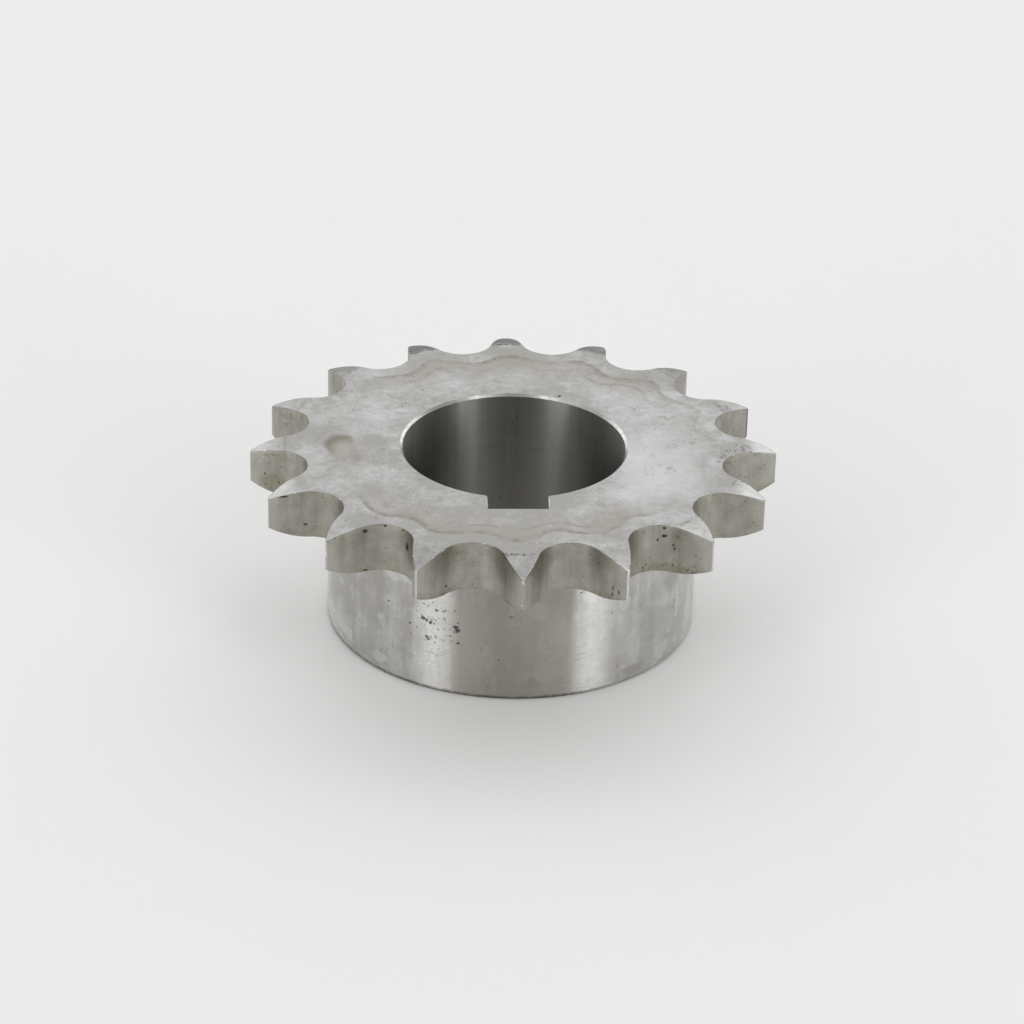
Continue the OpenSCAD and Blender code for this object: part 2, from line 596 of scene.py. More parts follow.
def smudges(r, spot):
    """Two dull smudges on the left of the upper side, and the dark rim of the larger one."""
    top = total_length
    rough_spot = ragged(r, spot, 3.0, 1.2)
    smudge = blot(r, rough_spot, (-23.2, -1.3, top), (2.5, 5.0, 4.0), 0.5)
    back_smudge = blot(r, rough_spot, (-19.3, 17.6, top), (2.6, 2.0, 4.0), 0.8)
    crescent = r.minus(blot(r, rough_spot, (-23.5, -0.3, top), (2.4, 4.0, 4.0), 0.5),
                       blot(r, rough_spot, (-22.8, -1.9, top), (2.2, 4.1, 4.0), 0.7), clamp=True)
    rim = r.minus(smudge, blot(r, rough_spot, (-23.2, -1.0, top), (2.2, 4.6, 4.0), 0.5), clamp=True)
    lower = blot(r, rough_spot, (-21.2, -4.4, top), (1.4, 2.8, 4.0), 0.9)
    dark_rim = r.most(crescent, r.times(rim, 0.5), r.times(lower, 0.4))
    return r.most(smudge, r.times(back_smudge, 0.7)), dark_rim


# Places on the upper side: x and y, and for grit also its reach.
scuffed = [(17.0, 10.0), (20.8, 7.9), (22.3, -0.2), (20.3, -6.9), (23.8, 1.3), (18.1, -8.0),
           (-17.9, -1.4), (15.0, 14.2)]
gritty = [(27.1, -5.1, 0.9), (27.8, -3.3, 1.0), (28.8, -1.6, 1.0), (30.1, -0.6, 1.1), (31.3, -0.6, 1.0),
          (31.9, -1.4, 0.8), (28.6, -11.4, 1.2), (30.2, -10.2, 1.0), (29.0, 11.9, 1.5), (29.7, 10.7, 1.0),
          (-14.5, 11.5, 1.2), (22.4, -23.3, 0.7)]


def scuffs(r, spot):
    """Small soft smears around a few places, where something rubbed."""
    rubbed = r.step(cloud(r, r.vector("MULTIPLY", spot, (1.0, 0.6, 1.0)), 0.9, 2.0), 0.53, 0.66)
    places = [((x, y, total_length), (1.9, 2.4, 3.0)) for x, y in scuffed]
    return r.times(rubbed, blots(r, spot, places, 0.8))


def grit(r, spot):
    """Dark grit that sits around a few places near the teeth."""
    places = [((x, y, total_length), (wide, wide, 3.0)) for x, y, wide in gritty]
    return r.times(blots(r, spot, places, 0.7), r.step(cloud(r, spot, 0.55, 3.0, 0.7), 0.51, 0.60))


print(f"tide line at radius {tide_r} mm, give or take {tide_wave} mm")

# %% Faced steel
clean_steel = (0.685, 0.690, 0.705, 1)
dull_steel = (0.430, 0.423, 0.404, 1)
dried_film = (0.412, 0.388, 0.343, 1)
tan_film = (0.62, 0.595, 0.53, 1)
rust_brown = (0.22, 0.197, 0.150, 1)
# Broad patches of the upper side, partly stains and partly painted light and shade: x, y, half width,
# half depth and change of tone.
stain_and_light_patches = [(-20.0, 10.0, 8.0, 7.0, 0.40), (17.0, 12.0, 7.0, 8.0, 0.38), (-2.0, -16.5, 12.0, 7.0, -0.55),
          (-11.0, -11.0, 6.0, 5.0, -0.55), (-18.8, 0.8, 3.4, 3.0, -0.55), (26.5, -4.5, 4.5, 8.0, -0.45),
          (22.0, -17.0, 5.0, 4.5, -0.30), (-4.0, -26.5, 10.0, 5.5, -0.45), (6.5, -15.5, 4.0, 4.5, -0.35),
          (14.0, -15.0, 4.0, 4.5, 0.25), (22.0, -7.0, 6.0, 8.0, -0.22), (-15.0, -22.5, 7.0, 4.5, -0.35),
          (1.0, 27.5, 9.0, 4.5, -0.60), (26.0, -12.0, 3.5, 4.0, -0.20), (0.5, -29.5, 4.5, 2.6, -0.50),
          (-20.5, -21.5, 4.5, 4.0, -0.45), (30.3, -11.5, 2.2, 4.0, 0.60), (28.8, 3.0, 2.2, 2.6, 0.40),
          (2.0, -21.5, 9.0, 4.0, -0.25), (-26.5, 2.0, 3.0, 10.0, -0.20), (26.8, -5.3, 1.7, 2.4, 0.42),
          (26.8, 5.3, 1.7, 2.4, 0.38), (22.8, 15.2, 2.0, 2.0, 0.42), (26.0, 10.6, 2.0, 2.2, 0.32),
          (21.0, 0.0, 5.0, 3.5, -0.25), (-19.2, -12.8, 2.6, 2.6, -0.40), (-10.8, -26.0, 2.2, 2.5, -0.40),
          (-25.8, 10.7, 2.4, 2.4, -0.35)]


def face_tone(r, spot, y, radius, patches, mottle):
    """How light the upper side is, from dull 0 to clean 1: stains and painted light from the list, and
    clouds.
    """
    right_side = blot(r, spot, (19.5, -6.0, total_length), (11.0, 19.0, 20.0), 0.8)
    broad = cloud(r, spot, 13.0, 2.0)
    tone = uneven(r, (broad, 1.3), (patches, 1.1), (mottle, 1.1), (grain(r, spot), 0.9))
    tone = r.times(tone, r.step(right_side, 0.0, 1.0, 1.0, 0.5))
    tone = r.plus(tone, 0.30, r.times(right_side, 0.55))
    # Each patch is a stain or a painted light or shade that raises or lowers the tone.
    for across, along, wide, deep, change in stain_and_light_patches:
        stain_and_light_patch = blot(r, spot, (across, along, total_length), (wide, deep, 4.0), 0.9)
        tone = r.plus(tone, r.times(stain_and_light_patch, change))
    back_ring = r.times(r.step(radius, 17.8, 17.4), r.step(y, 6.0, 13.0), 0.16)
    foot_of_teeth = r.times(r.step(radius, 27.0, 29.0), 0.12)
    return r.minus(tone, r.most(back_ring, foot_of_teeth), clamp=True)


def faced_steel():
    material, r, shader = new_finish("faced_steel")
    spot, x, y, _, radius = r.place()
    patches = cloud(r, spot, 4.5, 4.0)
    mottle = cloud(r, spot, 1.1, 4.0, 0.62)
    tone = face_tone(r, spot, y, radius, patches, mottle)
    colour = r.mix(tone, dull_steel, clean_steel)
    film, lines = tide_marks(r, spot, x, y, radius, patches)
    smudge, dark_rim = smudges(r, spot)
    colour = r.mix(r.most(r.times(film, 0.5), r.times(smudge, 0.65)), colour, dried_film)
    pale_middle = blot(r, spot, (-22.9, -1.9, total_length), (1.4, 2.8, 4.0), 0.9)
    colour = r.mix(r.times(pale_middle, 0.2), colour, tan_film)
    outlines = r.times(ring(r, patches, 0.5, 0.02), r.step(cloud(r, spot, 9.0, 1.0), 0.5, 0.62), 0.22)
    stain = r.most(r.times(dark_rim, 0.74), r.times(lines, 0.48), outlines, r.times(scuffs(r, spot), 0.38))
    colour = r.mix(stain, colour, rust_brown)
    crumbs = blot(r, spot, (29.0, -1.8, total_length), (2.6, 2.4, 3.0), 0.6)
    specks = pits(r, ragged(r, spot, 0.5, 0.25), 0.6, 0.4, r.plus(r.times(crumbs, 0.6), 0.025))
    single = blot(r, spot, (6.73, 14.55, total_length), (0.36, 0.42, 2.0), 0.6)
    dark = r.most(r.times(specks, 0.6), r.times(grit(r, spot), 0.5), r.times(single, 0.85))
    paint(r, shader, r.mix(dark, colour, black_pit), r.step(tone, 0.0, 1.0, 0.58, 0.52))
    grooves = cloud(r, r.combine(r.times(radius, 5.0), r.times(x, 0.05), r.times(y, 0.05)), 1.0, 2.0)
    roughen(r, shader, r.plus(r.times(grooves, 0.6), mottle), 0.008)
    return material


finishes = {"face": faced_steel()}
print("faced steel:", len(finishes["face"].node_tree.nodes), "nodes")

# %% [markdown]
# ## The side relief of the teeth
# The relief was turned with a form tool after facing. Where that cut starts, dirt has caught in a row of
# small pits, plain to see on some teeth and faint on the others. Crumbs of dirt and small bright dents
# lie around that row. Its tone is painted light and shade: brighter at the tips of the side teeth, darker
# at the back.

# %% Relieved steel
dark_relief, light_relief = (0.240, 0.236, 0.226, 1), (0.74, 0.74, 0.735, 1)
bright_dent = (0.85, 0.85, 0.83, 1)
grazing_tint = (0.7, 0.7, 0.7, 1)
# Teeth with dirt where the relief starts: angle in degrees and reach.
dirty_teeth = [(-92, 3.2), (90, 3.2), (112, 3.2), (157, 3.4), (137, 3.0), (180, 2.4), (44, 2.4),
               (21, 2.8), (-2, 2.6), (-20, 2.4), (-44, 3.0)]


def relief_painted_light(r, x, y, radius):
    """Painted light and shade of the relief: brightest at the tips on the right, darkest at the back."""
    tip = r.step(radius, relief_start_r + 1.0, tip_r)
    right = r.times(r.step(x, 8.0, 25.0), r.step(tip, 0.0, 1.0, 0.38, 0.52))
    far_right = r.times(r.step(x, 26.0, 32.0), 0.12)
    left = r.times(r.step(x, -18.0, -32.0), 0.38)
    sides = r.times(r.step(y, 20.0, 8.0), r.plus(right, far_right, left))
    front = r.times(r.step(y, -28.0, -34.0), 0.14)
    back = r.times(r.step(y, 18.0, 28.0), -0.22)
    return r.plus(sides, front, back, 0.32)


def relieved_steel():
    material, r, shader = new_finish("relieved_steel")
    spot, x, y, _, radius = r.place()
    mottle = cloud(r, spot, 1.1, 4.0, 0.62)
    patches = cloud(r, spot, 4.5, 4.0)
    faced = r.mix(face_tone(r, spot, y, radius, patches, mottle), dull_steel, clean_steel)
    side = r.times(r.step(r.math("ABSOLUTE", x), 8.0, 25.0), r.step(y, 20.0, 8.0))
    tone = uneven(r, (patches, 0.85), (mottle, 0.55), (grain(r, spot), 0.35))
    # Painted light and shade: the relief's tone is raised at the tips on the sides and at the front,
    # lowered at the back.
    tone = r.plus(tone, relief_painted_light(r, x, y, radius), clamp=True)
    relieved = r.mix(tone, dark_relief, light_relief)
    reach = r.plus(r.times(side, 1.6), relief_start_r + 0.9)
    colour = r.mix(r.step(radius, relief_start_r, reach), faced, relieved)
    places = [(at(relief_start_r + 0.4, a, total_length), (w, w, 3.0)) for a, w in dirty_teeth]
    dirty = blots(r, spot, places, 0.6)
    strong = r.step(r.math("ABSOLUTE", x), 17.0, 13.0, 0.35, 1.0)
    broken = r.step(cloud(r, spot, 0.42, 2.0), 0.46, 0.54)
    start = ring(r, radius, relief_start_r + 0.15, 0.5)
    start = r.times(start, r.step(dirty, 0.0, 1.0, 0.2, 1.0), broken, strong)
    crumbs = r.times(dirty, r.step(cloud(r, spot, 1.6, 1.0), 0.44, 0.58))
    specks = pits(r, ragged(r, spot, 0.4, 0.3), 0.45, 0.4, r.plus(r.times(crumbs, 0.5), 0.03))
    other_spot = r.vector("ADD", spot, (31.0, 17.0, 5.0))
    dents = pits(r, other_spot, 0.5, 0.35, r.plus(r.times(crumbs, 0.2), 0.02))
    dark = r.most(r.times(start, 0.85), r.times(specks, 0.6), r.times(grit(r, spot), 0.66))
    colour = r.mix(r.times(dents, 0.7), colour, bright_dent)
    paint(r, shader, r.mix(dark, colour, black_pit), r.step(tone, 0.0, 1.0, 0.54, 0.48))
    shader.inputs["Specular Tint"].default_value = grazing_tint
    roughen(r, shader, mottle, 0.012)
    return material


finishes["relief"] = relieved_steel()
print("relieved steel:", len(finishes["relief"].node_tree.nodes), "nodes")

# %% [markdown]
# ## The flanks of the teeth
# The gaps were cut by a hob and never polished: a warm dull grey with faint streaks along the axis,
# rubbed lighter towards the tips. Black pits gather at the upper and lower edges, where the cutter broke
# in and out. A few pits are large enough to have a place of their own, and two places near the lower edge
# are pitted all over.

# %% Hobbed steel
dark_hob, light_hob = (0.312, 0.297, 0.258, 1), (0.432, 0.418, 0.378, 1)
pitted_brown = (0.24, 0.215, 0.145, 1)
# Single pits and pitted or stained zones: centre, and reach along x, y and z.
flank_pits = [((-20.0, -23.2, 24.2), (0.40, 0.5, 0.30)), ((-14.6, -24.5, 22.7), (0.24, 0.5, 0.62)),
              ((-15.1, -23.9, 24.75), (0.2, 0.3, 0.2)), ((-17.4, -22.8, 24.85), (0.3, 0.4, 0.2)),
              ((-31.0, -13.9, 24.3), (1.1, 0.5, 0.18)), ((-27.8, -13.8, 20.2), (0.25, 0.4, 0.2)),
              ((-20.0, -23.2, 18.5), (0.3, 0.4, 0.2)), ((-9.6, -29.1, 19.4), (0.24, 0.3, 0.2)),
              ((18.8, -22.8, 23.4), (0.42, 0.4, 0.30)), ((18.7, -22.8, 24.6), (0.24, 0.3, 0.34)),
              ((19.9, -23.2, 22.3), (0.16, 0.3, 0.2)), ((20.1, -23.2, 21.8), (0.16, 0.3, 0.24)),
              ((17.9, -22.8, 22.9), (0.16, 0.3, 0.3))]
faint_pits = [((11.7, -31.4, 20.5), (0.26, 0.4, 0.62)), ((11.65, -31.4, 19.5), (0.24, 0.4, 0.5)),
              ((12.4, -32.0, 20.2), (0.22, 0.4, 0.5))]
pitted_zones = [((19.0, -23.5, 18.9), (6.2, 3.0, 0.95)), ((-32.3, -1.8, 19.9), (2.4, 3.0, 2.1)),
                ((-32.2, -2.0, 19.0), (1.3, 1.6, 1.3))]
stained_zones = [((28.9, -3.4, 23.5), (1.1, 1.2, 1.5)), ((30.8, -2.2, 21.3), (1.3, 0.9, 0.7)),
                 ((33.6, -1.0, 22.4), (1.3, 0.9, 0.9)), ((-31.0, 11.4, 22.6), (1.6, 1.2, 1.6)),
                 ((-28.4, 8.85, 24.2), (1.0, 0.8, 0.6)), ((-33.5, -1.3, 23.6), (1.6, 1.2, 1.2)),
                 ((-23.2, -16.2, 24.1), (0.9, 1.2, 1.1)), ((28.5, 9.0, 24.2), (0.9, 0.9, 1.1))]


def hobbed_steel():
    material, r, shader = new_finish("hobbed_steel")
    spot, x, y, z, radius = r.place()
    streaks = cloud(r, r.vector("MULTIPLY", spot, (1.0, 1.0, 0.12)), 1.0, 3.0)
    blotch = cloud(r, spot, 2.4, 5.0, 0.65)
    tone = uneven(r, (streaks, 1.3), (blotch, 1.9), (grain(r, spot), 0.8))
    tone = r.plus(tone, r.step(radius, tip_r - 2.0, tip_r, 0.45, 0.95), clamp=True)
    colour = r.mix(tone, dark_hob, light_hob)
    off_middle = r.math("ABSOLUTE", r.minus(z, rim_z + rim_w / 2))
    gathered = r.step(cloud(r, spot, 3.5, 2.0), 0.48, 0.62)
    gathered = r.times(gathered, r.step(off_middle, 1.0, 3.0, 0.2, 1.0))
    ragged_spot = ragged(r, spot, 0.45, 0.4)
    zones = blots(r, ragged_spot, pitted_zones, 0.6)
    pitted = r.most(r.times(gathered, 0.7), zones)
    small = pits(r, ragged_spot, 0.34, 0.36, r.plus(r.times(gathered, 0.5), 0.02))
    eaten = pits(r, r.vector("MULTIPLY", ragged_spot, (1.0, 1.0, 0.45)), 0.29, 0.33, r.times(zones, 0.75))
    stains = r.step(cloud(r, spot, 0.7, 3.0, 0.65), 0.47, 0.62)
    stains = r.times(blots(r, spot, stained_zones, 0.8), stains)
    large = blots(r, ragged_spot, flank_pits, 0.4)
    faint = blots(r, ragged_spot, faint_pits, 0.8)
    streak = blot(r, spot, (-2.07, -31.2, 21.4), (0.2, 1.0, 2.6), 0.8)
    dark = r.most(r.times(small, 0.55), r.times(eaten, 0.75), r.times(large, 0.92), r.times(faint, 0.72))
    # Painted shadow: a dark strip at the outer end of one flank on the right, where its edge break lies in
    # shade.
    painted_edge_shadow = r.step(radius, tip_r - 0.55, tip_r - 0.2)
    painted_edge_shadow = r.times(painted_edge_shadow, r.step(x, 20.0, 28.0), r.step(y, 5.0, 9.0))
    dark = r.most(dark, r.times(streak, 0.3), r.times(stains, 0.42), r.times(painted_edge_shadow, 0.55))
    colour = r.mix(r.times(pitted, 0.5), colour, pitted_brown)
    paint(r, shader, r.mix(dark, colour, black_pit), r.step(tone, 0.0, 1.0, 0.46, 0.38))
    roughen(r, shader, r.minus(r.plus(r.times(streaks, 0.5), blotch), dark), 0.026)
    return material


finishes["flank"] = hobbed_steel()
print("hobbed steel:", len(finishes["flank"].node_tree.nodes), "nodes")

# %% [markdown]
# ## The turned hub
# Fine grooves run around the hub, so a lamp is drawn out into an upright bright band. An anisotropic
# shader does that by itself: it needs a tangent that goes around the axis. Over the bright steel lie pale
# dried smears, dark smears, a group of pits and short scratches along the grooves. Some dark patches on
# the upper left are painted shade under the teeth. At the front a warm dark film stands for oil and for a
# painted dark reflection of the tent's opening, painted darker still at the top as shade under the teeth.

# %% Marks of the hub
# Single pits of the hub: angle in degrees, height and half width.
hub_pits = [(-119.6, 10.5, 0.42), (-118.5, 10.4, 0.3), (-117.0, 10.1, 0.36), (-115.9, 10.0, 0.2),
            (-118.3, 7.9, 0.42), (-117.8, 7.5, 0.24), (-108.9, 10.2, 0.5), (-108.5, 9.7, 0.4),
            (-110.7, 8.8, 0.25), (-108.3, 7.8, 0.3), (-109.9, 8.0, 0.16), (-124.1, 9.2, 0.25),
            (-132.4, 11.2, 0.22), (-114.9, 12.2, 0.3), (-119.4, 12.7, 0.22), (-116.4, 13.2, 0.2),
            (-112.3, 12.4, 0.2), (-70.9, 15.4, 0.3)]
# Smears of the hub: angle in degrees, height, half width and half height. The dark list also holds
# painted shade on the hub's upper left, under the teeth.
pale_smears = [(-164.0, 2.6, 4.2, 1.5), (-154.0, 2.4, 2.6, 1.2), (-135.5, 2.2, 2.0, 0.9),
               (-130.0, 15.3, 2.6, 0.9), (-150.0, 9.6, 0.6, 2.4), (-157.0, 9.4, 1.4, 0.6),
               (-135.0, 8.0, 0.9, 1.4), (-84.5, 13.4, 1.7, 1.6), (-84.5, 3.9, 1.6, 0.4),
               (-29.5, 8.0, 0.8, 3.2), (-38.0, 2.2, 2.0, 1.4), (-19.0, 5.0, 1.6, 4.0),
               (-67.5, 14.8, 1.4, 1.4), (-55.5, 12.0, 1.3, 1.2)]
dark_smears_and_shade = [(-90.5, 7.0, 0.9, 3.2), (-84.5, 2.3, 1.8, 1.0), (-51.0, 1.7, 3.0, 0.8),
               (-31.7, 8.0, 0.4, 3.0), (-98.5, 2.5, 0.9, 2.6), (-141.0, 12.4, 3.2, 0.4),
               (-125.6, 8.0, 1.2, 9.0), (-138.0, 13.0, 3.0, 4.4), (-95.5, 8.5, 1.8, 9.5),
               (-150.0, 9.0, 6.5, 4.8), (-33.0, 12.0, 2.5, 2.0), (-138.5, 9.5, 3.2, 4.2),
               (-164.0, 8.0, 3.2, 5.0), (-124.5, 12.5, 1.6, 1.6)]


def hub_smears(r, spot, smears, soft):
    """Smears, or patches of painted shade, from a list of angle, height, half width and half height."""
    return blots(r, spot, [(at(hub_r, a, h), (w, w, t)) for a, h, w, t in smears], soft)


print(len(hub_pits), "single pits and", len(pale_smears) + len(dark_smears_and_shade), "smears on the hub")

# %% Turned hub
dull_hub, bright_hub = (0.47, 0.457, 0.430, 1), (0.66, 0.656, 0.642, 1)
oil_dark_reflection, oil_reflection_tooth_shade = (0.40, 0.381, 0.338, 1), (0.345, 0.329, 0.292, 1)


def around_axis(r, shader, spread):
    """Draws the gloss out at right angles to grooves that go around the axis."""
    shader.inputs["Anisotropic"].default_value = spread
    shader.inputs["Anisotropic Rotation"].default_value = 0.25
    tangent = r.add("ShaderNodeTangent", {}, direction_type="RADIAL", axis="Z").outputs[0]
    r.feed(shader.inputs["Tangent"], tangent)


def turned_hub():
    material, r, shader = new_finish("turned_hub")
    spot, x, y, z, _ = r.place()
    smear = cloud(r, ragged(r, spot, 5.0, 4.0), 4.5, 4.0, 0.62)
    streaks = cloud(r, r.vector("MULTIPLY", spot, (1.0, 1.0, 0.08)), 1.2, 3.0)
    hairs = cloud(r, r.vector("MULTIPLY", spot, (0.3, 0.3, 5.0)), 1.0, 2.0)
    tone = uneven(r, (smear, 1.6), (streaks, 1.2), (hairs, 0.7), (grain(r, spot), 0.35))
    soft_spot = ragged(r, spot, 1.6, 1.8)
    # Pale smears lighten the hub; dark smears and painted shade under the teeth darken it.
    smears_and_shade = r.minus(hub_smears(r, soft_spot, pale_smears, 0.4), hub_smears(r, soft_spot, dark_smears_and_shade, 0.7))
    wiped = r.step(cloud(r, ragged(r, spot, 6.0, 6.0), 6.0, 1.5), 0.45, 0.56, -0.10, 0.10)
    tone = r.plus(tone, wiped, r.plus(0.5, r.times(smears_and_shade, 0.55)), clamp=True)
    colour = r.mix(tone, dull_hub, bright_hub)
    # Painted reflection: the front of the hub is darkened where it mirrors the tent's dark opening, with
    # oil, and darker at the top as painted shade under the teeth.
    front = r.step(r.math("ABSOLUTE", r.plus(x, 0.5)), 8.6, 7.0)
    oil_and_dark_reflection = r.times(front, r.step(y, 0.0, -5.0), 0.78)
    oil_reflection_colour = r.mix(r.step(z, 10.0, 16.0), oil_dark_reflection, oil_reflection_tooth_shade)
    colour = r.mix(oil_and_dark_reflection, colour, oil_reflection_colour)
    ragged_spot = ragged(r, spot, 0.4, 0.7)
    large = blots(r, ragged_spot, [(at(hub_r, a, h), (w, w, w * 0.8)) for a, h, w in hub_pits], 0.5)
    pitted = blot(r, spot, at(hub_r, -114.5, 9.6), (5.5, 5.5, 4.5), 0.7)
    small = pits(r, ragged_spot, 0.48, 0.4, r.plus(r.times(pitted, 0.7), 0.03))
    places = [(at(hub_r, -70.0, 6.5), (1.6, 1.6, 4.5)), (at(hub_r, -115.0, 7.0), (3.0, 3.0, 8.0))]
    worn = blots(r, spot, places, 0.7)
    scratches = r.times(r.step(hairs, 0.60, 0.66), r.step(worn, 0.0, 1.0, 0.12, 1.0))
    scratches = r.times(scratches, r.step(smear, 0.44, 0.52))
    # Painted shadow: the hub is darker just above the floor it stands on, fading towards the right.
    painted_contact_shadow = r.times(r.step(z, 0.70, 0.35), r.step(streaks, 0.40, 0.56, 0.25, 0.65))
    painted_contact_shadow = r.times(painted_contact_shadow, r.step(x, 15.0, 6.0, 0.3, 1.0))
    dark = r.most(r.times(large, 0.88), r.times(small, 0.6), r.times(scratches, 0.45), painted_contact_shadow)
    paint(r, shader, r.mix(dark, colour, black_pit), r.step(tone, 0.0, 1.0, 0.30, 0.255))
    around_axis(r, shader, 1.0)
    roughen(r, shader, r.minus(r.times(tone, 0.4), dark), 0.008)
    return material


finishes["hub"] = turned_hub()
print("turned hub:", len(finishes["hub"].node_tree.nodes), "nodes")

# %% [markdown]
# ## The bore
# The bore was finished to size and oiled, so it is darker than the rest. It faces itself, and light
# reaches it only through its ends. Its grooves also go around the axis, and streaks of oil run down it.

# %% Oiled bore
dark_bore, light_bore = (0.265, 0.265, 0.247, 1), (0.335, 0.335, 0.318, 1)
oil_in_bore = (0.43, 0.412, 0.372, 1)


def oiled_bore():
    material, r, shader = new_finish("oiled_bore")
    spot, x, _, z, _ = r.place()
    streaks = cloud(r, r.vector("MULTIPLY", spot, (1.0, 1.0, 0.03)), 1.3, 4.0)
    blotch = cloud(r, spot, 4.0, 4.0)
    rings = cloud(r, r.vector("MULTIPLY", spot, (0.12, 0.12, 3.5)), 1.0, 2.0)
    tone = r.plus(r.times(streaks, 0.55), r.plus(r.times(blotch, 0.25), r.times(rings, 0.2)))
    colour = r.mix(r.step(tone, 0.36, 0.64), dark_bore, light_bore)
    middle = r.step(r.math("ABSOLUTE", x), 12.5, 6.0, 0.15, 0.6)
    colour = r.mix(r.times(r.step(z, 22.0, 6.0), middle), colour, oil_in_bore)
    specks = pits(r, ragged(r, spot, 0.4, 0.2), 1.0, 0.35, 0.2)
    paint(r, shader, r.mix(r.times(specks, 0.6), colour, black_pit), r.step(tone, 0.3, 0.7, 0.44, 0.38))
    around_axis(r, shader, 0.97)
    roughen(r, shader, r.minus(r.plus(tone, r.times(rings, 0.6)), specks), 0.01)
    return material


finishes["bore"] = oiled_bore()
print("oiled bore:", len(finishes["bore"].node_tree.nodes), "nodes")

# %% [markdown]
# ## Edges, chamfers and tips
# The chamfer of the bore is the brightest metal. The edges of the teeth are painted dark, as painted shade
# that tones down the lamps' reflection, with painted glints here and there. The narrow lands at the tips
# are turned, with painted highlights on the teeth to the left and right and painted shade on the tooth at
# the front.
# Where the hub meets the floor, a painted shadow darkens its lower edge.

# %% Bright and dull edges
worn_chamfer, clean_chamfer = (0.629, 0.6216, 0.5994, 1), (0.74, 0.74, 0.7326, 1)
chamfer_dirt = (0.25, 0.235, 0.20, 1)
edge_shade_dark, edge_shade_light = (0.27, 0.262, 0.24, 1), (0.3375, 0.3275, 0.30, 1)
painted_glint_colour = (0.80, 0.80, 0.78, 1)
hub_edge_shadow, hub_edge_lighter = (0.10, 0.095, 0.085, 1), (0.34, 0.335, 0.32, 1)
land_painted_shade, land_painted_highlight = (0.40, 0.388, 0.355, 1), (0.72, 0.72, 0.70, 1)


def bright_chamfer():
    material, r, shader = new_finish("bright_chamfer")
    spot = r.place()[0]
    wear = cloud(r, spot, 1.2, 4.0)
    dirt = r.step(cloud(r, spot, 2.5), 0.56, 0.68, 0.0, 0.5)
    colour = r.mix(r.step(wear, 0.35, 0.65), worn_chamfer, clean_chamfer)
    paint(r, shader, r.mix(dirt, colour, chamfer_dirt), r.step(wear, 0.3, 0.7, 0.32, 0.22))
    roughen(r, shader, wear, 0.01)
    return material


def edge_painted_shade_and_glints():
    """An edge painted dark as shade, with painted glints here and there."""
    material, r, shader = new_finish("edge_painted_shade_and_glints")
    spot = r.place()[0]
    # Painted glints on an edge whose dark colour is painted shade.
    painted_glint = r.step(cloud(r, spot, 0.9, 3.0), 0.60, 0.66)
    colour = r.mix(cloud(r, spot, 0.5, 2.0), edge_shade_dark, edge_shade_light)
    paint(r, shader, r.mix(painted_glint, colour, painted_glint_colour), r.step(painted_glint, 0.0, 1.0, 0.5, 0.3))
    return material


def hub_edge_painted_shadow():
    """The edge that the hub stands on: a painted shadow, dark at the front and lighter to the right."""
    material, r, shader = new_finish("hub_edge_painted_shadow")
    spot, x = r.place()[:2]
    # Painted shadow where the hub stands on the floor, fading to the right.
    less_shadow = r.plus(r.step(x, 6.0, 15.0), uneven(r, (cloud(r, spot, 2.0, 3.0), 0.5)), clamp=True)
    paint(r, shader, r.mix(less_shadow, hub_edge_shadow, hub_edge_lighter), 0.5)
    return material


def land_with_painted_light():
    """Painted highlight on the lands to the left and the right; painted shade with a few painted glints at
    the front.
    """
    material, r, shader = new_finish("land_with_painted_light")
    spot, x = r.place()[:2]
    painted_glint = r.step(cloud(r, spot, 0.8, 3.0), 0.54, 0.60)
    # Painted light: the lands of the side teeth get a painted highlight, the front one painted shade and
    # glints.
    painted_highlight = r.most(r.times(painted_glint, 0.9), r.step(x, 4.0, 9.0, 0.0, 0.7), r.step(x, -4.0, -9.0, 0.0, 0.4))
    paint(r, shader, r.mix(painted_highlight, land_painted_shade, land_painted_highlight), 0.36)
    return material


finishes["chamfer"] = bright_chamfer()
finishes["land"] = land_with_painted_light()
finishes["edge"] = edge_painted_shade_and_glints()
finishes["hub_edge"] = hub_edge_painted_shadow()
print("edges, chamfers and tips: 4 finishes")

# %% [markdown]
# ## The hidden faces
# The underside of the rim and the end of the hub are out of sight. They get the plain turned finish that
# such a part has there: fine rings around the axis.

# %% Plain turned faces
def turned_end():
    material, r, shader = new_finish("turned_end")
    spot, x, y, _, radius = r.place()
    grooves = cloud(r, r.combine(r.times(radius, 4.0), r.times(x, 0.03), r.times(y, 0.03)), 1.0, 3.0)
    tone = r.plus(r.times(grooves, 0.5), r.times(cloud(r, spot, 6.0, 5.0), 0.5))
    colour = r.mix(r.step(tone, 0.35, 0.65), dull_steel, clean_steel)
    paint(r, shader, colour, r.step(tone, 0.3, 0.7, 0.42, 0.34))
    roughen(r, shader, grooves, 0.012)
    return material


finishes["under"] = turned_end()
finishes["hub_end"] = finishes["under"]
for surface in surfaces:
    body.data.materials.append(finishes[surface])
print(len(body.data.materials), "surfaces dressed")

# %% [markdown]
# ## Floor
# The part stands on a pale matt sweep. Its colour is a little brighter close to the part: painted light
# that lifts the shadow the part casts there. Further out it is an even pale grey.

# %% Pale floor
floor_size = 6
floor_dim, floor_light = (0.945, 0.945, 0.941, 1), (0.965, 0.965, 0.962, 1)
floor_painted_light, floor_far = (0.99, 0.99, 0.987, 1), (0.96, 0.96, 0.96, 1)


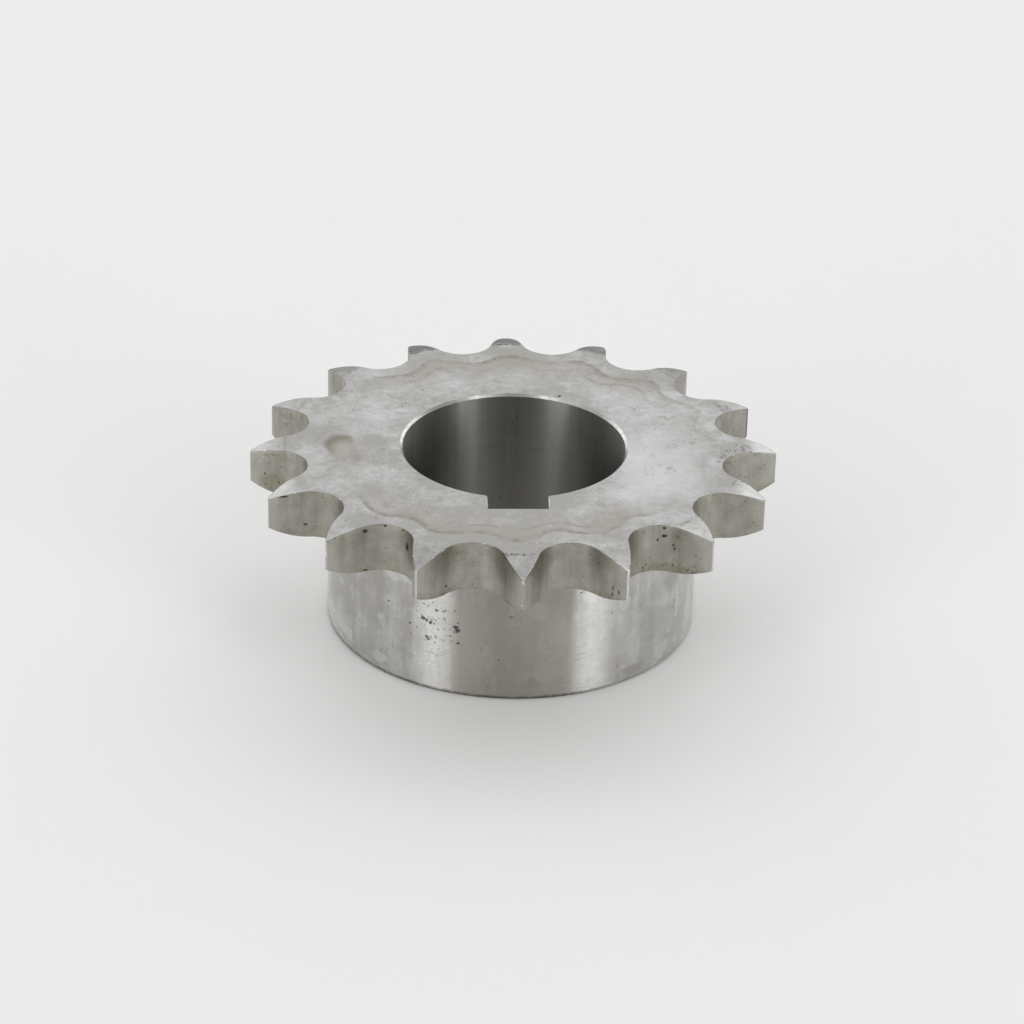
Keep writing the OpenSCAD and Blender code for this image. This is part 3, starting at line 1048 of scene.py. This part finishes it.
def make_floor():
    material, r, shader = new_finish("pale_floor")
    shader.inputs["Metallic"].default_value = 0.0
    spot, _, _, _, radius = r.place()
    colour = r.mix(cloud(r, spot, 40.0), floor_dim, floor_light)
    # Painted light: a brighter floor colour within a few centimetres of the part, where the part shades
    # it.
    colour = r.mix(r.step(radius, 48.0, 28.0), colour, floor_painted_light)
    paint(r, shader, r.mix(r.step(radius, 70.0, 260.0), colour, floor_far), 0.6)
    bpy.ops.mesh.primitive_plane_add(size=floor_size)
    floor = bpy.context.object
    floor.name = "pale_floor"
    floor.data.materials.append(material)
    return floor


floor = make_floor()
print("floor", tuple(floor.dimensions))

# %% [markdown]
# ## Light tent
# The light is a tent of white cloth: it glows all round, a lamp stands behind the cloth on each side of
# the camera, two more hang high at the back, and the opening that the camera looks through is dark. Metal
# shows what is around it, so the bright bands on the hub and in the bore are these lamps, and the dark
# band between them is the opening.

# %% Tent
tent_strength = 2.9
# Glow of the cloth near the floor and higher up: degrees from the camera's side, and level.
low_cloth = [(-180, 0.28), (-140, 0.42), (-120, 0.26), (-80, 0.16), (-64, 0.18), (-60, 0.38), (-55, 0.58),
             (-53.5, 1.75), (-40.5, 1.75), (-38.5, 0.75), (-33, 0.54), (-25, 0.25), (-15, 0.07),
             (0, 0.05), (10, 0.06), (20, 0.12), (33, 0.16), (37, 0.26), (42.5, 0.34), (44.2, 1.75),
             (59.5, 1.75), (61, 0.58), (68, 0.43), (82, 0.30), (120, 0.27), (140, 0.50), (180, 0.28)]
high_cloth = [(-180, 0.29), (-160, 0.33), (-148, 0.42), (-125, 0.42), (-108, 0.11), (-84, 0.20),
              (-62, 0.20), (-52.5, 0.24), (-50, 1.0), (-40, 1.0), (-37.5, 0.50), (-31, 0.22), (-22, 0.20),
              (0, 0.04), (22, 0.15), (33, 0.19), (40, 0.45), (42.5, 1.0), (54, 1.0), (56.5, 0.25),
              (64, 0.11), (108, 0.09), (125, 0.42), (148, 0.42), (160, 0.33), (180, 0.29)]
wall_blend, roof_blend = (0.10, 0.35), (0.78, 0.94)
roof_front, roof_back, roof_run = 0.06, 0.33, (-0.55, 0.25)
high_lamps = [(-0.30, 0.66, 0.68), (0.30, 0.66, 0.68)]
lamp_reach, lamp_share = (0.18, 0.35, 0.28), 0.5
white = (1, 1, 1, 1)


def cloth(r, turn, levels):
    """Glow of the cloth for each direction around the part, from a list of (degrees, level)."""
    ramp = r.add("ShaderNodeValToRGB", {0: r.plus(r.times(turn, 0.5 / math.pi), 0.5)})
    stops = ramp.color_ramp.elements
    while len(stops) < len(levels):
        stops.new(0.5)
    for stop, (degrees, level) in zip(stops, levels):
        stop.position = 0.5 + degrees / 360
        stop.color = (level, level, level, 1)
    return ramp.outputs["Color"]


def make_tent():
    world = bpy.data.worlds.new("light_tent")
    bpy.context.scene.world = world
    world.use_nodes = True
    r = Recipe(world.node_tree)
    look = r.add("ShaderNodeTexCoord", {}).outputs["Generated"]
    inputs = {"Vector": look, "Angle": -math.radians(camera_side_deg)}
    look = r.add("ShaderNodeVectorRotate", inputs, rotation_type="Z_AXIS").outputs[0]
    x, y, z = r.add("ShaderNodeSeparateXYZ", {0: look}).outputs
    turn = r.math("ARCTAN2", x, r.math("MULTIPLY", y, -1.0))
    light = r.mix(r.step(z, *wall_blend), cloth(r, turn, low_cloth), cloth(r, turn, high_cloth))
    roof = r.step(y, *roof_run, roof_front, roof_back)
    light = r.mix(r.step(z, *roof_blend), light, r.combine(roof, roof, roof))
    for centre in high_lamps:
        lamp = blot(r, look, centre, lamp_reach, 0.7)
        light = r.mix(r.times(lamp, lamp_share), light, white)
    background = world.node_tree.nodes["Background"]
    r.feed(background.inputs["Color"], light)
    background.inputs["Strength"].default_value = tent_strength


make_tent()
bpy.context.scene.view_settings.view_transform = "Standard"
print("tent of", len(low_cloth) + len(high_cloth), "stops and", len(high_lamps), "high lamps")
